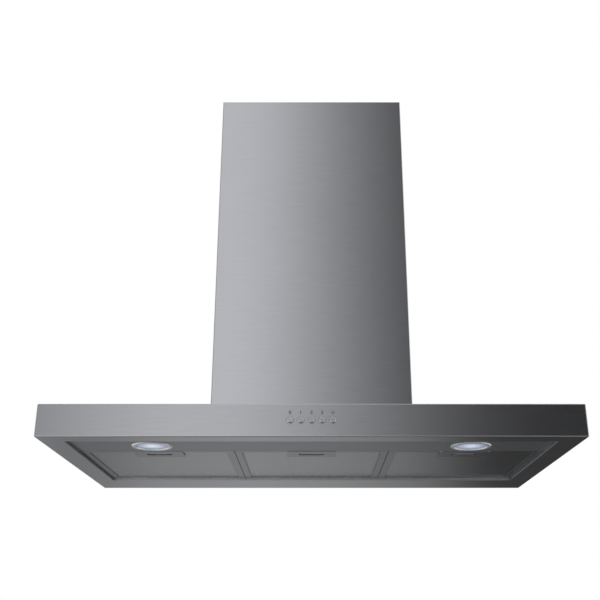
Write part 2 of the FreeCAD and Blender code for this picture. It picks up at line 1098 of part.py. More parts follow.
def scroll_outline(offset):
    """Closed outline of the scroll in the Y-Z plane, pushed outward by an offset."""
    half_step = scroll_step / 2
    radii = [
        scroll_radius - scroll_step + offset,
        scroll_radius + offset,
        scroll_radius + scroll_step + offset,
        scroll_radius + 2 * scroll_step + offset,
    ]
    centres = [
        (-half_step, half_step),
        (-half_step, -half_step),
        (half_step, -half_step),
        (half_step, half_step),
    ]
    tongue_side = outlet_inner_side - offset
    rise = math.sqrt(radii[0] ** 2 - (tongue_side - centres[0][0]) ** 2)
    tongue_turn = math.atan2(rise, tongue_side - centres[0][0])
    turns = [tongue_turn] + [math.pi * quarter / 2 for quarter in range(1, 5)]
    edges = []
    for quarter in range(4):
        middle_turn = (turns[quarter] + turns[quarter + 1]) / 2
        points = [
            scroll_point(centres[quarter], radii[quarter], turn)
            for turn in (turns[quarter], middle_turn, turns[quarter + 1])
        ]
        edges.append(Part.Arc(points[0], points[1], points[2]).toShape())
    start = edges[0].Vertexes[0].Point
    end = edges[-1].Vertexes[1].Point
    top = axis_height + outlet_height
    far_top = Vector(0, end.y, top)
    near_top = Vector(0, start.y, top)
    edges.append(Part.makeLine(end, far_top))
    edges.append(Part.makeLine(far_top, near_top))
    edges.append(Part.makeLine(near_top, start))
    return Part.Face(Part.Wire(edges))


def scroll_point(centre, radius, turn):
    y_place = axis_place + centre[0] + radius * math.cos(turn)
    z_place = axis_height + centre[1] + radius * math.sin(turn)
    return Vector(0, y_place, z_place)


def scroll_slab(offset, start, length):
    slab = scroll_outline(offset).extrude(Vector(length, 0, 0))
    slab.translate(Vector(start, 0, 0))
    return slab


def inlet_bell():
    """Inlet lip in three flares, from the throat out to the side wall."""
    throat = scroll_half_width - inlet_throat
    rise = inlet_throat + scroll_wall
    rim = inlet_radius + rise
    corners = []
    for step in range(inlet_flares + 1):
        turn = math.pi / 2 * step / inlet_flares
        reach = throat + rise * math.sin(turn)
        corners.append(Vector(reach, 0, rim - rise * math.cos(turn)))
    corners.append(Vector(scroll_half_width, 0, rim))
    corners.append(Vector(throat, 0, inlet_radius + scroll_wall))
    face = Part.Face(Part.makePolygon(corners + corners[:1]))
    bell = face.revolve(Vector(0, 0, 0), along_x, 360)
    bell.translate(axle)
    return bell


def blower_half():
    """Right half of the scroll: wall, side, rolled inlet, ribs, lip and flange."""
    shell = scroll_slab(scroll_wall, 0, side_wall)
    hollow = scroll_slab(0, -overrun, scroll_half_width + overrun)
    lip = scroll_slab(scroll_wall + scroll_lip, 0, scroll_wall)
    flange = block(
        (0, side_wall + outlet_flange),
        (outlet_front - scroll_wall - outlet_flange, outlet_rear + scroll_wall + outlet_flange),
        (box_top - box_sheet - outlet_flange_sheet, box_top - box_sheet),
    )
    mouth = block(
        (-overrun, scroll_half_width),
        (outlet_front, outlet_rear),
        (box_top - outlet_height / 2, box_top + overrun),
    )
    inlet = cylinder(
        inlet_radius + inlet_throat + scroll_wall, axle, along_x, side_wall + overrun
    )
    ribs = []
    for index in range(rib_count):
        turn = 360 * index / rib_count
        rib = block(
            (side_wall - scroll_wall / 2, side_wall + rib_height),
            both_ways(rib_width / 2),
            (rib_inner_radius, scroll_radius + scroll_step),
        )
        rib.rotate(Vector(0, 0, 0), along_x, turn)
        rib.translate(axle)
        ribs.append(rib)
    rib_limit = scroll_slab(scroll_wall, 0, side_wall + rib_height)
    ribs = [rib.common(rib_limit) for rib in ribs]
    body = join([shell, lip, flange] + ribs).cut([hollow, mouth, inlet])
    return join([body, inlet_bell()])


def impeller():
    """Double-inlet drum: forward-bent blades, two end rings, a disc and a hub."""
    half = impeller_half_width
    blades = [blade(2 * math.pi * index / blade_count) for index in range(blade_count)]
    start = Vector(-half, 0, 0)
    ring = tube(impeller_radius, blade_inner_radius - blade_bow, start, along_x, impeller_ring)
    far_ring = ring.mirror(Vector(0, 0, 0), along_x)
    disc = cylinder(impeller_radius, Vector(-impeller_disc / 2, 0, 0), along_x, impeller_disc)
    hub = cylinder(hub_radius, Vector(-impeller_disc / 2, 0, 0), along_x, hub_length)
    bore = cylinder(
        shaft_radius, Vector(-hub_length, 0, 0), along_x, 2 * hub_length + overrun
    )
    drum = disc.fuse([hub, ring, far_ring] + blades).removeSplitter().cut(bore)
    drum.translate(axle)
    return drum


def blade(turn):
    """Blade with one bend along its middle, leaning into the turn."""
    lean = math.radians(blade_lean_degrees)
    inner = blade_inner_radius
    outer = impeller_radius - seat_gap
    middle = (inner + outer) / 2
    thin = blade_thickness
    corners = [
        blade_point(inner, turn, 0),
        blade_point(middle, turn + lean / 2, -blade_bow),
        blade_point(outer, turn + lean, 0),
        blade_point(outer, turn + lean, -thin),
        blade_point(middle, turn + lean / 2, -blade_bow - thin),
        blade_point(inner, turn, -thin),
    ]
    face = Part.Face(Part.makePolygon(corners + corners[:1]))
    reach = impeller_half_width - impeller_ring
    plate = face.extrude(Vector(2 * reach, 0, 0))
    plate.translate(Vector(-reach, 0, 0))
    return plate


def blade_point(radius, turn, shift):
    """Point at a radius and a turn, shifted sideways round the drum."""
    y_place = radius * math.cos(turn) - shift * math.sin(turn)
    z_place = radius * math.sin(turn) + shift * math.cos(turn)
    return Vector(0, y_place, z_place)


def motor_shaft():
    start = Vector(-motor_near - shaft_depth, 0, 0) + axle
    return cylinder(shaft_radius, start, along_x, motor_near + shaft_depth + hub_length)


def motor():
    """Fan motor with bevelled end bells, vents and a shaft bore."""
    length = motor_far - motor_near
    start = Vector(-motor_far, 0, 0)
    body = cylinder(motor_radius, start, along_x, length)
    body = body.makeChamfer(motor_corner, [edge for edge in body.Edges if is_circle(edge)])
    boss = cylinder(
        motor_boss_radius, Vector(-motor_near - motor_corner, 0, 0), along_x,
        motor_corner + motor_boss,
    )
    bore = cylinder(
        shaft_radius + running_gap, Vector(-motor_near - shaft_depth - seat_gap, 0, 0),
        along_x, shaft_depth + motor_near,
    )
    vents = []
    for index in range(motor_vent_count):
        turn = 2 * math.pi * index / motor_vent_count
        y_place = motor_vent_circle * math.cos(turn)
        z_place = motor_vent_circle * math.sin(turn)
        vents.append(
            cylinder(
                motor_vent_radius, Vector(-motor_far - overrun, y_place, z_place), along_x,
                motor_vent_depth + overrun,
            )
        )
    motor_solid = body.fuse(boss).cut([bore] + vents)
    motor_solid.translate(axle)
    return motor_solid


def is_circle(edge):
    return edge.Curve.TypeId == "Part::GeomCircle"


def motor_bracket():
    """Clamp ring round the motor with three arms across the inlet."""
    inner = motor_radius + shank_gap
    outer = inner + bracket_ring
    start = Vector(-side_wall - bracket_ring_length, 0, 0)
    ring = tube(outer, inner, start, along_x, bracket_ring_length)
    arms = []
    for index in range(bracket_arms):
        arm = block(
            (-side_wall - bracket_sheet, -side_wall),
            (inner + bracket_ring / 2, bracket_arm_reach),
            both_ways(bracket_arm_width / 2),
        )
        arm.rotate(Vector(0, 0, 0), along_x, 90 + 360 * index / bracket_arms)
        arms.append(arm)
    bracket = join([ring] + arms)
    bracket.translate(axle)
    return drilled(bracket, motor_screws())


# Outlet collar and flaps


def outlet_collar():
    """Moulded collar for the duct, with a stop ledge and a centre rib."""
    half = collar_base / 2
    base = block(
        both_ways(half), (collar_place - half, collar_place + half), (box_top, collar_seat)
    )
    base = round_edges(base, collar_base_corner, is_upright(base, half))
    centre = Vector(0, collar_place, box_top)
    wall = cylinder(collar_radius, centre, along_z, collar_base_sheet + collar_height)
    bore = cylinder(
        collar_bore, centre - along_z * overrun, along_z,
        collar_base_sheet + collar_height + 2 * overrun,
    )
    body = join([base, wall]).cut(bore)
    ledge = tube(
        collar_bore + collar_wall / 2, collar_bore - collar_ledge,
        Vector(0, collar_place, ledge_height - collar_ledge_sheet), along_z,
        collar_ledge_sheet,
    )
    rib = block(
        both_ways(collar_bore + collar_wall / 2),
        (collar_place - collar_rib / 2, collar_place + collar_rib / 2),
        (flap_axis_height + flap_barrel_radius - collar_rib_height,
         flap_axis_height + flap_barrel_radius),
    )
    body = join([body, ledge, rib])
    holes = []
    for side in both_ways(flap_hinge_offset):
        start = Vector(-collar_radius - overrun, collar_place + side, flap_axis_height)
        length = 2 * collar_radius + 2 * overrun
        hole = cylinder(flap_pin_radius + running_gap, start, along_x, length)
        holes.append(hole)
    return drilled(body.cut(holes), collar_screws())


def damper_flap():
    """Half-round flap on the wall side, with a hinge barrel and two pins."""
    centre = Vector(0, collar_place, ledge_height)
    disc = cylinder(collar_bore - flap_gap, centre, along_z, flap_sheet)
    keep = block(
        both_ways(collar_radius),
        (collar_place + flap_hinge_offset, collar_place + collar_radius),
        (ledge_height - overrun, ledge_height + flap_sheet + overrun),
    )
    plate = disc.common(keep)
    chord = math.sqrt(collar_bore ** 2 - (flap_hinge_offset + flap_barrel_radius) ** 2)
    reach = chord - flap_end_gap
    hinge = Vector(-reach, collar_place + flap_hinge_offset, flap_axis_height)
    barrel = cylinder(flap_barrel_radius, hinge, along_x, 2 * reach)
    pin_reach = collar_radius - flap_end_gap
    pin_start = Vector(-pin_reach, hinge.y, hinge.z)
    pins = cylinder(flap_pin_radius, pin_start, along_x, 2 * pin_reach)
    return join([plate, barrel, pins])


def front_flap():
    return damper_flap().mirror(Vector(0, collar_place, 0), along_y)


# Wiring box


def wiring_box():
    outer = block(
        (wiring_outer, wiring_face), (wiring_front, wiring_rear), (wiring_base, wiring_top)
    )
    inner = block(
        (wiring_outer - overrun, wiring_face - wiring_sheet),
        (wiring_front + wiring_sheet, wiring_rear - wiring_sheet),
        (wiring_base + wiring_sheet, wiring_top - wiring_sheet),
    )
    hole = cylinder(
        gland_thread_radius + shank_gap,
        Vector(gland_x, gland_y, wiring_top - wiring_sheet - overrun), along_z,
        wiring_sheet + 2 * overrun,
    )
    return drilled(outer.cut([inner, hole]), wiring_screws())


def wiring_lid():
    """Flat lid with short flanges that slip inside the box."""
    plate = block(
        (wiring_outer - lid_sheet, wiring_outer),
        (wiring_front, wiring_rear),
        (wiring_base, wiring_top),
    )
    inset = wiring_sheet + seat_gap
    flange = block(
        (wiring_outer, wiring_outer + lid_flange),
        (wiring_front + inset, wiring_rear - inset),
        (wiring_base + inset, wiring_top - inset - gland_nut_height - gland_thread),
    )
    room = block(
        (wiring_outer - overrun, wiring_outer + wiring_margin),
        (wiring_front + inset + lid_sheet, wiring_rear - inset - lid_sheet),
        (wiring_base + inset + lid_sheet, wiring_top),
    )
    return join([plate, flange.cut(room)])


def terminal_block():
    """Insulated block with a tunnel and a screw well for each wire."""
    rear = wiring_rear - terminal_block_place
    front = rear - terminal_block_width
    face = wiring_face - wiring_sheet
    base = wiring_base + 2 * wiring_margin
    outer_face = face - terminal_block_depth
    body = block((outer_face, face), (front, rear), (base, base + terminal_block_size))
    cuts = []
    pitch = terminal_block_width / terminal_block_poles
    middle = (front + rear) / 2
    for step in spread(terminal_block_poles, pitch):
        tunnel = Vector(face - terminal_block_depth / 2, middle + step, base - overrun)
        length = terminal_block_size + 2 * overrun
        cuts.append(cylinder(pitch * tunnel_share, tunnel, along_z, length))
        well = Vector(outer_face - overrun, middle + step, base + terminal_block_size / 2)
        cuts.append(cylinder(pitch * well_share, well, along_x, terminal_block_depth / 2 + overrun))
    return body.cut(cuts)


def capacitor():
    centre = Vector(
        wiring_face - wiring_sheet - capacitor_radius - seat_gap,
        wiring_rear - capacitor_place,
        wiring_base + wiring_sheet,
    )
    can = cylinder(capacitor_radius, centre, along_z, capacitor_length)
    return bevel_edges(
        can, capacitor_bevel, lambda point: point.z > centre.z + capacitor_length / 2
    )


def cable_gland():
    """Gland body with hexagon, dome and inner nut, open along its bore."""
    base = Vector(gland_x, gland_y, wiring_top)
    hex_radius = gland_hex_flats / math.sqrt(3)
    body = hexagon(hex_radius, base, along_z, gland_hex_height)
    dome_base = base + Vector(0, 0, gland_hex_height)
    dome = cylinder(gland_dome_radius, dome_base, along_z, gland_dome_height)
    middle = dome_base.z + gland_dome_height / 2
    dome = bevel_edges(dome, gland_dome_bevel, lambda point: point.z > middle)
    thread_start = base - Vector(0, 0, gland_thread)
    thread = cylinder(gland_thread_radius, thread_start, along_z, gland_thread)
    nut_base = base - Vector(0, 0, wiring_sheet + gland_nut_height)
    nut = hexagon(hex_radius, nut_base, along_z, gland_nut_height)
    bore = cylinder(
        gland_bore_radius, thread_start - along_z * overrun, along_z,
        gland_thread + gland_hex_height + gland_dome_height + 2 * overrun,
    )
    return body.fuse([dome, thread, nut]).cut(bore)


# Chimney


def folded_channel(half, front, rear, base, top, turn_in):
    """C-section sheet, open towards the wall, with two rear returns."""
    outer = block(both_ways(half), (front, rear), (base, top))
    outer = round_edges(outer, chimney_bend, is_front_corner(outer))
    inner = block(
        both_ways(half - chimney_sheet), (front + chimney_sheet, rear - chimney_sheet),
        (base - overrun, top + overrun),
    )
    inner = round_edges(inner, chimney_bend - chimney_sheet, is_front_corner(inner))
    back = block(
        both_ways(half - turn_in), (rear - chimney_sheet - overrun, rear + overrun),
        (base - overrun, top + overrun),
    )
    return outer.cut([inner, back])


def is_front_corner(shape):
    """Chooses the two upright edges at the front of a block."""
    box = shape.BoundBox

    def chooses(middle):
        return abs(middle.x) > box.XMax - overrun and middle.y < box.YMin + overrun

    return chooses


def chimney_lower():
    section = folded_channel(
        chimney_half, -chimney_depth, 0, canopy_top, chimney_top, chimney_return
    )
    return drilled(section, clip_side_screws())


def chimney_upper():
    section = folded_channel(
        upper_half, upper_front, upper_rear, upper_top - upper_length, upper_top, upper_return
    )
    vents = []
    middle = (upper_front + upper_rear) / 2
    for index in range(vent_count):
        top = upper_top - vent_drop - vent_pitch * index
        vents.append(
            block(
                both_ways(upper_half + overrun),
                (middle - vent_length / 2, middle + vent_length / 2),
                (top - vent_height, top),
            )
        )
    return section.cut(vents)


def chimney_clip():
    """Angle on the right that ties the chimney to the canopy top."""
    y_limits = (clip_front, clip_rear)
    leg = block(
        (chimney_inner - clip_plate_sheet, chimney_inner), y_limits,
        (canopy_top, canopy_top + clip_leg_height),
    )
    foot = block(
        (clip_foot_end, chimney_inner), y_limits,
        (canopy_top, canopy_top + clip_plate_sheet),
    )
    return drilled(join([leg, foot]), clip_base_screws() + clip_side_screws())


def chimney_bracket():
    """Folded strip from the wall to the side walls of the upper chimney."""
    z_limits = (bracket_top - bracket_height, bracket_top)
    back = block(both_ways(bracket_back_half), (-bracket_strip, 0), z_limits)
    arm = block(
        (bracket_back_half - bracket_strip, bracket_back_half), (-bracket_arm, 0), z_limits
    )
    link = block(
        (bracket_back_half - bracket_strip, upper_inner),
        (-bracket_arm, bracket_strip - bracket_arm), z_limits,
    )
    pad = block(
        (upper_inner - bracket_strip, upper_inner),
        (-bracket_arm - bracket_pad, bracket_strip - bracket_arm), z_limits,
    )
    side = [arm, link, pad]
    bracket = join([back] + side + [mirrored(shape) for shape in side])
    middle = bracket_top - bracket_height / 2
    start = -bracket_strip - overrun
    length = bracket_strip + 2 * overrun
    holes = [
        cylinder(bracket_hole_radius, Vector(x, start, middle), along_y, length)
        for x in both_ways(bracket_hole_spacing / 2)
    ]
    return bracket.cut(holes)


def sheet_screws():
    return Part.makeCompound([screw(seat, axis) for seat, axis in all_screws()])


# Every node

side_names = ["left", "centre", "right"]

save(canopy_shell(), "canopy_shell")
save(canopy_panel(), "canopy_panel")
save(wall_rail(), "wall_rail")
save(underside_tray(), "underside_tray")
bar = filter_bar()
save(moved(bar, -filter_pitch / 2), "filter_bar_left")
save(moved(bar, filter_pitch / 2), "filter_bar_right")

frame = filter_frame()
mesh = filter_mesh()
handle = filter_handle()
latch = filter_latch()
for name, place in zip(side_names, filter_places()):
    save(moved(frame, place), "filter_frame_" + name)
    save(moved(mesh, place), "filter_mesh_" + name)
    save(moved(handle, place), "filter_handle_" + name)
    save(moved(latch, place), "filter_latch_" + name)

for name, place in zip(["left", "right"], both_ways(lamp_spacing / 2)):
    save(at_lamp(lamp_bezel(), place), "lamp_bezel_" + name)
    save(at_lamp(lamp_lens(), place), "lamp_lens_" + name)
    save(at_lamp(lamp_reflector(), place), "lamp_reflector_" + name)
    save(at_lamp(lamp_bulb(), place), "lamp_bulb_" + name)
    save(at_lamp(lamp_holder(), place), "lamp_holder_" + name)
    save(at_lamp(lamp_clips(), place), "lamp_clips_" + name)
save(lamp_transformer(), "lamp_transformer")

button = push_button()
for number, place in enumerate(spread(button_count, button_pitch)):
    save(moved(button, place), "button_" + str(number + 1))
save(switch_body(), "switch_body")
save(switch_studs(), "switch_studs")

save(motor_box(), "motor_box")
right_half = blower_half()
left_half = mirrored(right_half)
save(drilled(right_half, outlet_screws()), "blower_half_right")
save(drilled(left_half, outlet_screws() + motor_screws()), "blower_half_left")
save(impeller(), "impeller")
save(motor_shaft(), "motor_shaft")
save(motor(), "motor")
save(motor_bracket(), "motor_bracket")
save(outlet_collar(), "outlet_collar")
save(damper_flap(), "damper_flap_rear")
save(front_flap(), "damper_flap_front")

save(wiring_box(), "wiring_box")
save(wiring_lid(), "wiring_lid")
save(terminal_block(), "terminal_block")
save(capacitor(), "capacitor")
save(cable_gland(), "cable_gland")

save(chimney_lower(), "chimney_lower")
save(chimney_upper(), "chimney_upper")
clip = chimney_clip()
save(clip, "chimney_clip_right")
save(mirrored(clip), "chimney_clip_left")
save(chimney_bracket(), "chimney_bracket")
save(sheet_screws(), "sheet_screws")
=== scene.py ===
import math

import bmesh
import bpy
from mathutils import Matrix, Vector


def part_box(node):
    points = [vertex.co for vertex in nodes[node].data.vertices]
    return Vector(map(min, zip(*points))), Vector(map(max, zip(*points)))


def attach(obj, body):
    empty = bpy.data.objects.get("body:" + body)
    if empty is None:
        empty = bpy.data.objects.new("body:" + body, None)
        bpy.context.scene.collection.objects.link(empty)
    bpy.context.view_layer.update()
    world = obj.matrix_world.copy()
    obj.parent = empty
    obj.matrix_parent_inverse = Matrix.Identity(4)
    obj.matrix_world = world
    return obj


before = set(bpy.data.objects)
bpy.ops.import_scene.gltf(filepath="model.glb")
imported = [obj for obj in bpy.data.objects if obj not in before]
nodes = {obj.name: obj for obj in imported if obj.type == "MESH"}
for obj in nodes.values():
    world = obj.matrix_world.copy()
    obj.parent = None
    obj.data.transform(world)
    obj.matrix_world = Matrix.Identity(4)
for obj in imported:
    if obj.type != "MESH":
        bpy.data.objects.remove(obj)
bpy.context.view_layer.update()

# Camera: metres and degrees, and millimetres for the lens and its sensor
camera_place = (0.0, -1.924, -0.303)
camera_pitch = 21.04
camera_lens = 52.64
camera_sensor = 36.0
camera_shift = -0.0192
camera_reach = 100.0

# Floor, lamp and sky: metres and watts
floor_height = -1.1
floor_size = 40.0
floor_colour = (0.93, 0.93, 0.93, 1.0)
floor_dark = 0.98
floor_grain = 3.0
floor_roughness = 0.9
floor_lift = 0.25
key_place = (-2.2, -2.6, 2.2)
key_target = (0.0, -0.25, 0.3)
key_size = 2.0
key_power = 10.0
sky_level = 0.75

# Round screen that the metal reflects, in metres. Its ramps meet within side_blend of the
# wall's plane and between the heights of low_blend. Under fade_top it fades to fade_level.
screen_radius = 4.0
screen_bottom = -7.0
screen_top = 9.0
screen_facets = 180
side_blend = 0.002
low_blend = (-1.1, -0.6)
fade_top = -1.5
fade_level = 0.2

# The screen's brightness by the place across it, from -1 at its left to 1 at its right:
# before the hood, low down before the hood, and behind it
room_side = [
    (-1.0, 0.7),
    (-0.75, 0.6),
    (-0.6, 0.1),
    (-0.5, 0.1),
    (-0.35, 0.48),
    (-0.25, 0.7),
    (-0.2, 0.8),
    (-0.15, 0.85),
    (-0.1, 0.81),
    (-0.05, 0.68),
    (0.0, 0.5),
    (0.05, 0.35),
    (0.1, 0.235),
    (0.15, 0.148),
    (0.2, 0.05),
    (0.28, 0.0),
    (0.55, 0.0),
    (0.64, 0.7),
    (1.0, 0.8),
]
low_side = [
    (-1.0, 0.95),
    (-0.6, 1.0),
    (0.0, 0.8),
    (0.3, 0.4),
    (0.6, 0.5),
    (1.0, 0.8),
]
wall_side = [
    (-1.0, 0.95),
    (-0.75, 0.95),
    (-0.6, 0.7),
    (-0.5, 0.33),
    (-0.4, 0.22),
    (-0.35, 0.23),
    (-0.25, 0.34),
    (-0.1, 0.38),
    (0.0, 0.345),
    (0.05, 0.32),
    (0.1, 0.285),
    (0.15, 0.25),
    (0.2, 0.19),
    (0.25, 0.1),
    (0.3, 0.05),
    (0.55, 0.04),
    (0.7, 0.75),
    (1.0, 0.85),
]

white = (1.0, 1.0, 1.0, 1.0)

# Noise: its scale by axis, the part of its range that is used, and its layers of detail
even = (1.0, 1.0, 1.0)
along_hood = (0.02, 1.0, 1.0)
across_hood = (1.0, 0.02, 1.0)
noise_range = (0.3, 0.7)
noise_roughness = 0.6
brush_detail = 6.0
patch_detail = 3.0
grain_detail = 2.0

# Brushed metals: linear colours, waves per metre, and heights in metres
steel_colour = (0.6, 0.61, 0.645, 1.0)
frame_colour = (0.42, 0.43, 0.45, 1.0)
brush_scale = 900.0
brush_height = 0.0001
cloud_scale = 5.0
cloud_dark = (0.97, 0.97, 0.97, 1.0)
# Where a metal gives a share for gaps, painted shade in narrow gaps lowers its colour to that
# share
metals = {
    "stainless": dict(
        colour=(0.605, 0.615, 0.645, 1.0),
        rough=0.255,
        spread=(0.98, 1.04),
        relief=0.04,
        gap_shade=0.15,
    ),
    "fine_stainless": dict(colour=steel_colour, rough=0.18),
    # Darker copy of the canopy's stainless for the underside and the filter bars: painted shade
    "shaded_tray_steel": dict(
        colour=(0.325, 0.335, 0.35, 1.0), rough=0.34, metal=0.85, gap_shade=0.35,
    ),
    "filter_rim": dict(colour=frame_colour, rough=0.3, grain=across_hood, gap_shade=0.35),
    "handle_plate": dict(colour=frame_colour, rough=0.3),
    "latch_bolt": dict(colour=(0.6, 0.6, 0.61, 1.0), rough=0.4, metal=0.4),
    "satin_ring": dict(
        colour=(0.75, 0.77, 0.79, 1.0), rough=0.25, grain=even, contrast=0.03, metal=0.7,
    ),
    "button_steel": dict(colour=steel_colour, rough=0.28, grain=even, contrast=0.03),
    "bright_reflector": dict(colour=(0.85, 0.85, 0.87, 1.0), rough=0.08, grain=even),
    "spring_steel": dict(colour=(0.5, 0.5, 0.51, 1.0), rough=0.25),
    "ground_shaft": dict(colour=(0.6, 0.6, 0.6, 1.0), rough=0.2),
}

# Painted shade in the gaps between the sheets, which darkens the metal's colour and dims its
# shine: metres and shares
crevice_reach = 0.03
crevice_open = 0.5
crevice_rear = 0.35
crevice_samples = 8

# Galvanised sheet
zinc_dark = (0.5, 0.52, 0.54, 1.0)
zinc_light = (0.64, 0.66, 0.68, 1.0)
zinc_rough = (0.42, 0.5)
zinc_relief = (0.04, 0.0002)
spangle_scale = 90.0

# Expanded mesh: degrees, waves per metre and metres
mesh_light = (0.58, 0.6, 0.615, 1.0)
mesh_dark = (0.27, 0.275, 0.285, 1.0)
# How dark the painted shade along the frames' sides is, as a share of the gaps' colour
frame_shade_dark = 0.85
mesh_rough = (0.22, 0.26)
mesh_grain = 300.0
strand_turn = 32.0
strand_scale = 85.0
strand_waver = 0.6
strand_waver_scale = 3.0
strand_range = (0.45, 0.85)
strand_relief = (0.08, 0.0006)
# Where the painted shade along the frames' sides lies, and how far in it fades
frame_cover = 0.011
edge_blend = 0.0045

# Frosted lens, with a painted glow that brightens from its rim to its middle
lens_rim = (0.2, 0.25, 0.34, 1.0)
lens_middle = (0.8, 0.84, 0.95, 1.0)
lens_radius = 0.027
lens_glow = 0.35
lens_clear = 0.3
frost_scale = 700.0
frost_rough = (0.2, 0.32)
frost_relief = (0.3, 0.0002)

# Plastics: linear colour and roughness, and how far the patches and the grain vary them
plastics = {
    "white_plastic": dict(colour=(0.8, 0.8, 0.78, 1.0), rough=0.45),
    "black_plastic": dict(colour=(0.03, 0.03, 0.033, 1.0), rough=0.45),
    "grey_plastic": dict(colour=(0.3, 0.31, 0.32, 1.0), rough=0.5),
}
plastic_tones = (0.93, 1.05)
plastic_spread = (0.9, 1.15)
plastic_grain = 900.0
plastic_patches = 12.0
plastic_relief = (0.25, 0.00015)

# Other grained surfaces: waves per metre, and the relief's strength and height in metres
surfaces = {
    "bulb_glass": dict(
        dark=(0.9, 0.93, 0.98, 1.0), light=white, rough=(0.02, 0.06), scale=60.0, clear=1.0,
    ),
    "lamp_ceramic": dict(
        dark=(0.78, 0.76, 0.71, 1.0),
        light=(0.86, 0.85, 0.8, 1.0),
        rough=(0.4, 0.6),
        scale=500.0,
        detail=patch_detail,
        relief=(0.2, 0.0001),
    ),
    "motor_enamel": dict(
        dark=(0.0846, 0.0893, 0.094, 1.0),
        light=(0.0945, 0.09975, 0.105, 1.0),
        rough=(0.28, 0.4),
        scale=260.0,
        relief=(0.15, 0.0002),
    ),
    "mark_ink": dict(
        dark=(0.06, 0.06, 0.065, 1.0),
        light=(0.09, 0.09, 0.095, 1.0),
        rough=(0.5, 0.7),
        scale=1500.0,
    ),
}

# Printed marks above the buttons: metres, and the signs in shares of a mark's size
button_count = 5
button_pitch = 0.0175
button_height = 0.0275
mark_rise = 0.0127
mark_size = 0.0058
mark_depth = 0.00008
digit_scale = 1.35
digit_weight = 0.03
sign_radii = (0.23, 0.13)
sign_corners = 20
ray_count = 8
ray_start = 0.31
ray_end = 0.5
ray_half_width = 0.045


# Node building


def feed(tree, value, socket):
    """Link a node's output to the socket, or set the socket to a plain value."""
    if isinstance(value, bpy.types.NodeSocket):
        tree.links.new(value, socket)
    else:
        socket.default_value = value


def add_node(tree, kind, inputs=None, **settings):
    """A node with its settings made and its inputs fed, by their names or numbers."""
    node = tree.nodes.new(kind)
    for name, value in settings.items():
        setattr(node, name, value)
    for name, value in (inputs or {}).items():
        feed(tree, value, node.inputs[name])
    return node


def empty_tree(owner):
    """The node tree of a material or a world, with nothing in it."""
    owner.use_nodes = True
    owner.node_tree.nodes.clear()
    return owner.node_tree


def new_material(name):
    """A material with a Principled shader and an output."""
    material = bpy.data.materials.new(name)
    tree = empty_tree(material)
    shader = add_node(tree, "ShaderNodeBsdfPrincipled")
    add_node(tree, "ShaderNodeOutputMaterial", {"Surface": shader.outputs["BSDF"]})
    return material, tree, shader


def own_place(tree):
    """The object's own coordinates."""
    return add_node(tree, "ShaderNodeTexCoord").outputs["Object"]


def axes(tree, vector):
    """The parts of a vector, by the names X, Y and Z."""
    return add_node(tree, "ShaderNodeSeparateXYZ", {"Vector": vector}).outputs


def noise(tree, scale, by_axis=even, detail=grain_detail):
    """Noise on the object's own coordinates, drawn out along an axis with a small scale."""
    mapping = add_node(tree, "ShaderNodeMapping", {"Vector": own_place(tree), "Scale": by_axis})
    node = add_node(tree, "ShaderNodeTexNoise", {
        "Vector": mapping.outputs["Vector"],
        "Scale": scale,
        "Detail": detail,
        "Roughness": noise_roughness,
    })
    return node.outputs["Fac"]


def ranged(tree, value, low, high, from_low=noise_range[0], from_high=noise_range[1]):
    """The value's run from from_low to from_high, turned into a run from low to high."""
    node = add_node(tree, "ShaderNodeMapRange", {
        "Value": value,
        "From Min": from_low,
        "From Max": from_high,
        "To Min": low,
        "To Max": high,
    })
    return node.outputs["Result"]


def tinted(tree, value, dark, light, positions=noise_range):
    """Colour that runs from dark to light between two positions of the value."""
    ramp = add_node(tree, "ShaderNodeValToRGB", {"Fac": value})
    for index, colour in enumerate((dark, light)):
        element = ramp.color_ramp.elements[index]
        element.position = positions[index]
        element.color = colour
    return ramp.outputs["Color"]


def stepped(tree, share, levels):
    """Grey ramp through pairs of a place from -1 to 1 and a brightness."""
    ramp = add_node(tree, "ShaderNodeValToRGB", {"Fac": share})
    elements = ramp.color_ramp.elements
    elements.remove(elements[1])
    for index, (place, level) in enumerate(levels):
        position = (place + 1) / 2
        element = elements[0] if index == 0 else elements.new(position)
        element.position = position
        element.color = (level, level, level, 1.0)
    return ramp.outputs["Color"]


def calculated(tree, operation, *values):
    """The result of a Math node on the values."""
    node = add_node(tree, "ShaderNodeMath", dict(enumerate(values)), operation=operation)
    return node.outputs["Value"]


def mixed(tree, share, first, second, blend="MIX"):
    """The first colour where the share is 0, and the second laid over it where it is 1."""
    inputs = {"Factor": share, "A": first, "B": second}
    node = add_node(tree, "ShaderNodeMix", inputs, data_type="RGBA", blend_type=blend)
    return node.outputs["Result"]


def bumped(tree, shader, value, strength, height):
    inputs = {"Height": value, "Strength": strength, "Distance": height}
    bump = add_node(tree, "ShaderNodeBump", inputs)
    feed(tree, bump.outputs["Normal"], shader.inputs["Normal"])


def shade(colour, factor):
    return tuple(channel * factor for channel in colour[:3]) + (1.0,)


# Materials


def crevice_share(tree):
    """Mask of painted shade: 1 on faces that look sideways into a narrow gap, less on those that
    look front or back.
    """
    occlusion = add_node(tree, "ShaderNodeAmbientOcclusion", {"Distance": crevice_reach},
                         samples=crevice_samples)
    closed = ranged(tree, occlusion.outputs["AO"], 1.0, 0.0, crevice_open, 1.0)
    normal = axes(tree, add_node(tree, "ShaderNodeNewGeometry").outputs["Normal"])
    sideways = calculated(tree, "ABSOLUTE", normal["X"])
    rearwards = calculated(tree, "ABSOLUTE", normal["Y"])
    rearwards = calculated(tree, "MULTIPLY", rearwards, crevice_rear)
    turned = calculated(tree, "MAXIMUM", sideways, rearwards)
    return calculated(tree, "MULTIPLY", turned, closed)


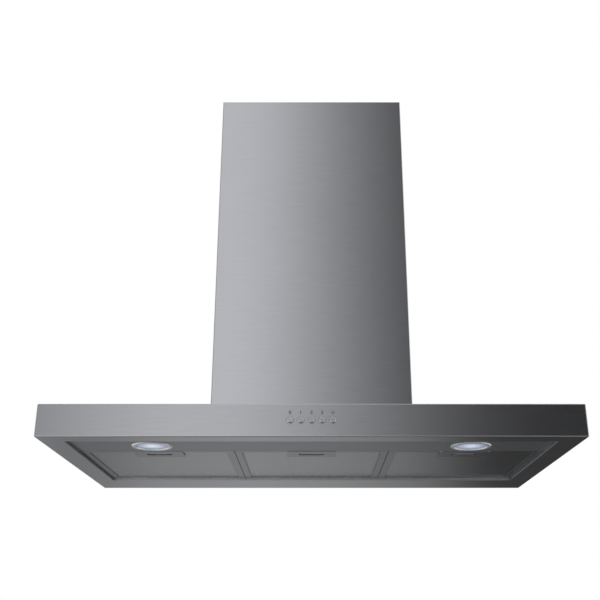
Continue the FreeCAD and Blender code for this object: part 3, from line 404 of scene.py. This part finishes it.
def brushed_metal(name, colour, rough, grain=along_hood, contrast=0.05, metal=1.0,
                  gap_shade=1.0, relief=0.07, spread=(0.92, 1.1)):
    """Satin metal whose fine grain runs along the axis with the small scale.

    The contrast is the swing of the grain's colour, the relief its strength as a bump, and
    the spread the factors between which its roughness runs. In a narrow gap, painted shade
    lowers the colour to the share given for it, and the metal shines less.
    """
    material, tree, shader = new_material(name)
    streaks = noise(tree, brush_scale, grain, brush_detail)
    clouds = noise(tree, cloud_scale, detail=patch_detail)
    base = tinted(tree, streaks, shade(colour, 1 - contrast), shade(colour, 1 + contrast))
    base = mixed(tree, 1.0, base, tinted(tree, clouds, cloud_dark, white), "MULTIPLY")
    # Painted shade: darker colour and less shine where ambient occlusion finds a narrow gap
    if gap_shade < 1.0:
        share = crevice_share(tree)
        base = mixed(tree, share, base, shade(white, gap_shade), "MULTIPLY")
        metal = ranged(tree, share, metal, 0.0, 0.0, 1.0)
    feed(tree, base, shader.inputs["Base Color"])
    feed(tree, metal, shader.inputs["Metallic"])
    low, high = spread
    feed(tree, ranged(tree, streaks, rough * low, rough * high), shader.inputs["Roughness"])
    bumped(tree, shader, streaks, relief, brush_height)
    return material


def spangled_zinc(name):
    """Galvanised sheet with a soft crystal pattern."""
    material, tree, shader = new_material(name)
    inputs = {"Vector": own_place(tree), "Scale": spangle_scale}
    cells = add_node(tree, "ShaderNodeTexVoronoi", inputs)
    split = add_node(tree, "ShaderNodeSeparateColor", {"Color": cells.outputs["Color"]})
    value = split.outputs["Red"]
    feed(tree, tinted(tree, value, zinc_dark, zinc_light), shader.inputs["Base Color"])
    feed(tree, 1.0, shader.inputs["Metallic"])
    feed(tree, ranged(tree, value, *zinc_rough, 0.0, 1.0), shader.inputs["Roughness"])
    bumped(tree, shader, value, *zinc_relief)
    return material


def expanded_mesh(name, node):
    """Expanded aluminium: a diamond lattice of strands over dark gaps, with painted shade along
    the frame's sides.
    """
    material, tree, shader = new_material(name)
    waves = [strand_waves(tree, turn) for turn in (strand_turn, -strand_turn)]
    strands = ranged(tree, calculated(tree, "MAXIMUM", *waves), 0.0, 1.0, *strand_range)
    colour = mixed(tree, strands, mesh_dark, mesh_light)
    # Painted shade where each frame's side lies on the mesh
    colour = mixed(tree, inside_edge(tree, node), shade(mesh_dark, frame_shade_dark), colour)
    feed(tree, colour, shader.inputs["Base Color"])
    feed(tree, 1.0, shader.inputs["Metallic"])
    grain = noise(tree, mesh_grain, detail=patch_detail)
    feed(tree, ranged(tree, grain, *mesh_rough), shader.inputs["Roughness"])
    bumped(tree, shader, strands, *strand_relief)
    return material


def strand_waves(tree, turn):
    """Slightly wavering bands, turned by an angle in degrees."""
    rotation = (0.0, 0.0, math.radians(turn))
    mapping = add_node(tree, "ShaderNodeMapping",
                       {"Vector": own_place(tree), "Rotation": rotation})
    inputs = {
        "Vector": mapping.outputs["Vector"],
        "Scale": strand_scale,
        "Distortion": strand_waver,
        "Detail Scale": strand_waver_scale,
    }
    wave = add_node(tree, "ShaderNodeTexWave", inputs, wave_type="BANDS", bands_direction="Y")
    return wave.outputs["Fac"]


def inside_edge(tree, node):
    """Mask of painted shade: 0 where the side of a filter's frame lies on its mesh, 1 a little
    further in.
    """
    low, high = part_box(node)
    middle = (low[0] + high[0]) / 2
    edge = (high[0] - low[0]) / 2 - frame_cover
    offset = calculated(tree, "SUBTRACT", axes(tree, own_place(tree))["X"], middle)
    distance = calculated(tree, "ABSOLUTE", offset)
    return ranged(tree, distance, 0.0, 1.0, edge, edge - edge_blend)


def lit_lens(name, centre):
    """Frosted lens with a painted glow, brightest at its middle and darker towards its rim."""
    material, tree, shader = new_material(name)
    away = add_node(tree, "ShaderNodeVectorMath", {0: own_place(tree), 1: centre},
                    operation="DISTANCE")
    # Painted glow: colour and emission brighten from the rim to the middle
    glow = ranged(tree, away.outputs["Value"], 1.0, 0.0, 0.0, lens_radius)
    colours = tinted(tree, glow, lens_rim, lens_middle, (0.0, 1.0))
    feed(tree, colours, shader.inputs["Base Color"])
    feed(tree, colours, shader.inputs["Emission Color"])
    feed(tree, lens_glow, shader.inputs["Emission Strength"])
    feed(tree, lens_clear, shader.inputs["Transmission Weight"])
    frost = noise(tree, frost_scale)
    feed(tree, ranged(tree, frost, *frost_rough), shader.inputs["Roughness"])
    bumped(tree, shader, frost, *frost_relief)
    return material


def grained(name, dark, light, rough, scale, detail=grain_detail, relief=None, patches=None,
            clear=0.0):
    """Surface whose grain varies its colour, its roughness and, with a relief, its height.

    With patches, a coarser noise of that scale varies the colour instead.
    """
    material, tree, shader = new_material(name)
    grain = noise(tree, scale, detail=detail)
    tones = noise(tree, patches, detail=patch_detail) if patches else grain
    feed(tree, tinted(tree, tones, dark, light), shader.inputs["Base Color"])
    feed(tree, clear, shader.inputs["Transmission Weight"])
    feed(tree, ranged(tree, grain, *rough), shader.inputs["Roughness"])
    if relief:
        bumped(tree, shader, grain, *relief)
    return material


def plastic(name, colour, rough):
    dark, light = [shade(colour, tone) for tone in plastic_tones]
    varied = [rough * factor for factor in plastic_spread]
    return grained(name, dark, light, varied, plastic_grain, relief=plastic_relief,
                   patches=plastic_patches)


# Dressing the nodes


def dress(material, names):
    for name in names:
        mesh = nodes[name].data
        mesh.materials.clear()
        mesh.materials.append(material)


def pair(name):
    return [name + "_left", name + "_right"]


def trio(name):
    return [name + "_left", name + "_centre", name + "_right"]


def wearers():
    """The nodes that each shared material dresses."""
    return {
        "stainless": ["canopy_shell", "canopy_panel"],
        "fine_stainless": ["chimney_lower", "chimney_upper"],
        "shaded_tray_steel": ["underside_tray"] + pair("filter_bar"),
        "filter_rim": trio("filter_frame"),
        "handle_plate": trio("filter_handle"),
        "latch_bolt": trio("filter_latch"),
        "satin_ring": pair("lamp_bezel"),
        "button_steel": ["button_%d" % (number + 1) for number in range(button_count)],
        "bright_reflector": pair("lamp_reflector"),
        "spring_steel": pair("lamp_clips"),
        "ground_shaft": ["motor_shaft"],
        "zinc": [
            "switch_studs", "wall_rail", "motor_box", "motor_bracket", "chimney_bracket",
            "sheet_screws",
        ] + pair("chimney_clip"),
        "white_plastic": ["lamp_transformer", "terminal_block", "capacitor"],
        "black_plastic": ["switch_body", "outlet_collar", "cable_gland", "impeller"],
        "grey_plastic": [
            "damper_flap_front", "damper_flap_rear", "wiring_box", "wiring_lid",
        ] + pair("blower_half"),
        "bulb_glass": pair("lamp_bulb"),
        "lamp_ceramic": pair("lamp_holder"),
        "motor_enamel": ["motor"],
    }


def shared_material(name):
    if name in metals:
        return brushed_metal(name, **metals[name])
    if name in plastics:
        return plastic(name, **plastics[name])
    if name in surfaces:
        return grained(name, **surfaces[name])
    return spangled_zinc(name)


def dress_all():
    """Give every CAD node its material: shared ones, then the meshes and the lenses."""
    for name, dressed in wearers().items():
        dress(shared_material(name), dressed)
    for name in trio("filter_mesh"):
        dress(expanded_mesh(name + "_lattice", name), [name])
    for name in pair("lamp_lens"):
        low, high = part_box(name)
        centre = [(a + b) / 2 for a, b in zip(low, high)]
        dress(lit_lens(name + "_frost", centre), [name])


# Printed marks


def add_marks():
    """Plain digits and a small lamp sign printed above the buttons."""
    material = shared_material("mark_ink")
    face = cad_front() - mark_depth / 2
    for number in range(button_count):
        place = (number - (button_count - 1) / 2) * button_pitch
        if number < button_count - 1:
            piece = digit(str(number), material)
        else:
            piece = lamp_sign(material)
        piece.rotation_euler = (math.pi / 2, 0.0, 0.0)
        piece.location = (place, face, button_height + mark_rise)
        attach(piece, "hood")


def cad_front():
    """The canopy's front face."""
    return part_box("canopy_shell")[0][1]


def digit(text, material):
    curve = bpy.data.curves.new("mark_" + text, "FONT")
    curve.body = text
    curve.size = mark_size * digit_scale
    curve.align_x = "CENTER"
    curve.align_y = "CENTER"
    curve.extrude = mark_depth
    curve.offset = mark_size * digit_weight
    curve.materials.append(material)
    piece = bpy.data.objects.new("mark_" + text, curve)
    bpy.context.collection.objects.link(piece)
    return piece


def lamp_sign(material):
    """A ring with short rays, drawn flat and given a little depth."""
    curve = bpy.data.curves.new("mark_lamp", "CURVE")
    curve.dimensions = "2D"
    curve.fill_mode = "BOTH"
    curve.extrude = mark_depth
    for radius in sign_radii:
        add_outline(curve, ring_corners(radius * mark_size))
    for index in range(ray_count):
        add_outline(curve, ray_corners(2 * math.pi * index / ray_count))
    curve.materials.append(material)
    piece = bpy.data.objects.new("mark_lamp", curve)
    bpy.context.collection.objects.link(piece)
    return piece


def ring_corners(radius):
    turns = [2 * math.pi * index / sign_corners for index in range(sign_corners)]
    return [(radius * math.cos(turn), radius * math.sin(turn)) for turn in turns]


def ray_corners(turn):
    along = Vector((math.cos(turn), math.sin(turn)))
    across = Vector((-along.y, along.x)) * mark_size * ray_half_width
    inner = along * mark_size * ray_start
    outer = along * mark_size * ray_end
    return [inner - across, outer - across, outer + across, inner + across]


def add_outline(curve, corners):
    """A closed flat outline through the corners."""
    spline = curve.splines.new("POLY")
    spline.points.add(len(corners) - 1)
    for point, (x, y) in zip(spline.points, corners):
        point.co = (x, y, 0.0, 1.0)
    spline.use_cyclic_u = True


# Studio


def add_camera():
    data = bpy.data.cameras.new("camera")
    data.lens = camera_lens
    data.sensor_width = camera_sensor
    data.shift_x = camera_shift
    data.clip_end = camera_reach
    camera = bpy.data.objects.new("camera", data)
    camera.location = camera_place
    camera.rotation_euler = (math.radians(90.0 + camera_pitch), 0.0, 0.0)
    bpy.context.collection.objects.link(camera)
    bpy.context.scene.camera = camera


def add_world():
    """White surroundings, a little less where they only light the object."""
    world = bpy.data.worlds.new("studio")
    bpy.context.scene.world = world
    tree = empty_tree(world)
    path = add_node(tree, "ShaderNodeLightPath").outputs
    seen = path["Is Camera Ray"]
    for kind in ("Is Glossy Ray", "Is Transmission Ray"):
        seen = calculated(tree, "MAXIMUM", seen, path[kind])
    strength = ranged(tree, seen, sky_level, 1.0, 0.0, 1.0)
    sky = add_node(tree, "ShaderNodeBackground", {"Color": white, "Strength": strength})
    add_node(tree, "ShaderNodeOutputWorld", {"Surface": sky.outputs["Background"]})


def add_screen():
    """Round screen with a foot, which only reflections and clear pieces show."""
    mesh = bpy.data.meshes.new("screen")
    shape = bmesh.new()
    bottom = screen_ring(shape, screen_bottom)
    top = screen_ring(shape, screen_top)
    for index in range(screen_facets):
        after = (index + 1) % screen_facets
        shape.faces.new([bottom[index], bottom[after], top[after], top[index]])
    shape.faces.new(bottom)
    shape.to_mesh(mesh)
    shape.free()
    mesh.materials.append(screen_material())
    screen = bpy.data.objects.new("screen", mesh)
    screen.visible_camera = False
    screen.visible_diffuse = False
    screen.visible_shadow = False
    bpy.context.collection.objects.link(screen)


def screen_ring(shape, height):
    """One ring of the screen's corners."""
    turns = [2 * math.pi * index / screen_facets for index in range(screen_facets)]
    places = [(math.cos(turn), math.sin(turn)) for turn in turns]
    return [shape.verts.new((screen_radius * x, screen_radius * y, height)) for x, y in places]


def screen_material():
    """Glow that follows the three ramps and fades towards the screen's foot."""
    material = bpy.data.materials.new("screen_light")
    tree = empty_tree(material)
    place = axes(tree, own_place(tree))
    share = ranged(tree, place["X"], 0.0, 1.0, -screen_radius, screen_radius)
    side = ranged(tree, place["Y"], 0.0, 1.0, -side_blend, side_blend)
    height = ranged(tree, place["Z"], 0.0, 1.0, *low_blend)
    low, room, wall = [stepped(tree, share, levels) for levels in (low_side, room_side, wall_side)]
    colour = mixed(tree, side, mixed(tree, height, low, room), wall)
    fade = ranged(tree, place["Z"], fade_level, 1.0, screen_bottom, fade_top)
    glow = add_node(tree, "ShaderNodeEmission", {"Color": colour, "Strength": fade})
    add_node(tree, "ShaderNodeOutputMaterial", {"Surface": glow.outputs["Emission"]})
    return material


def floor_paint():
    """Pale matt paint, seen by the camera a little lighter than it lights the object."""
    material, tree, shader = new_material("floor_paint")
    grain = noise(tree, floor_grain)
    colours = tinted(tree, grain, shade(floor_colour, floor_dark), floor_colour)
    feed(tree, colours, shader.inputs["Base Color"])
    feed(tree, floor_roughness, shader.inputs["Roughness"])
    path = add_node(tree, "ShaderNodeLightPath").outputs
    lift = ranged(tree, path["Is Camera Ray"], 0.0, floor_lift, 0.0, 1.0)
    feed(tree, lift, shader.inputs["Emission Strength"])
    return material


def add_floor():
    bpy.ops.mesh.primitive_plane_add(size=floor_size, location=(0.0, 0.0, floor_height))
    floor = bpy.context.object
    floor.name = "floor"
    floor.data.materials.append(floor_paint())
    floor.visible_glossy = False


def add_key():
    """Broad soft lamp from the upper left, which the metal doesn't reflect."""
    data = bpy.data.lights.new("key", "AREA")
    data.shape = "RECTANGLE"
    data.size = key_size
    data.size_y = key_size
    data.energy = key_power
    lamp = bpy.data.objects.new("key", data)
    lamp.location = key_place
    direction = Vector(key_target) - Vector(key_place)
    lamp.rotation_euler = direction.to_track_quat("-Z", "Y").to_euler()
    lamp.visible_glossy = False
    bpy.context.collection.objects.link(lamp)


bpy.context.scene.view_settings.view_transform = "Standard"

dress_all()
add_marks()
add_world()
add_screen()
add_floor()
add_key()
add_camera()
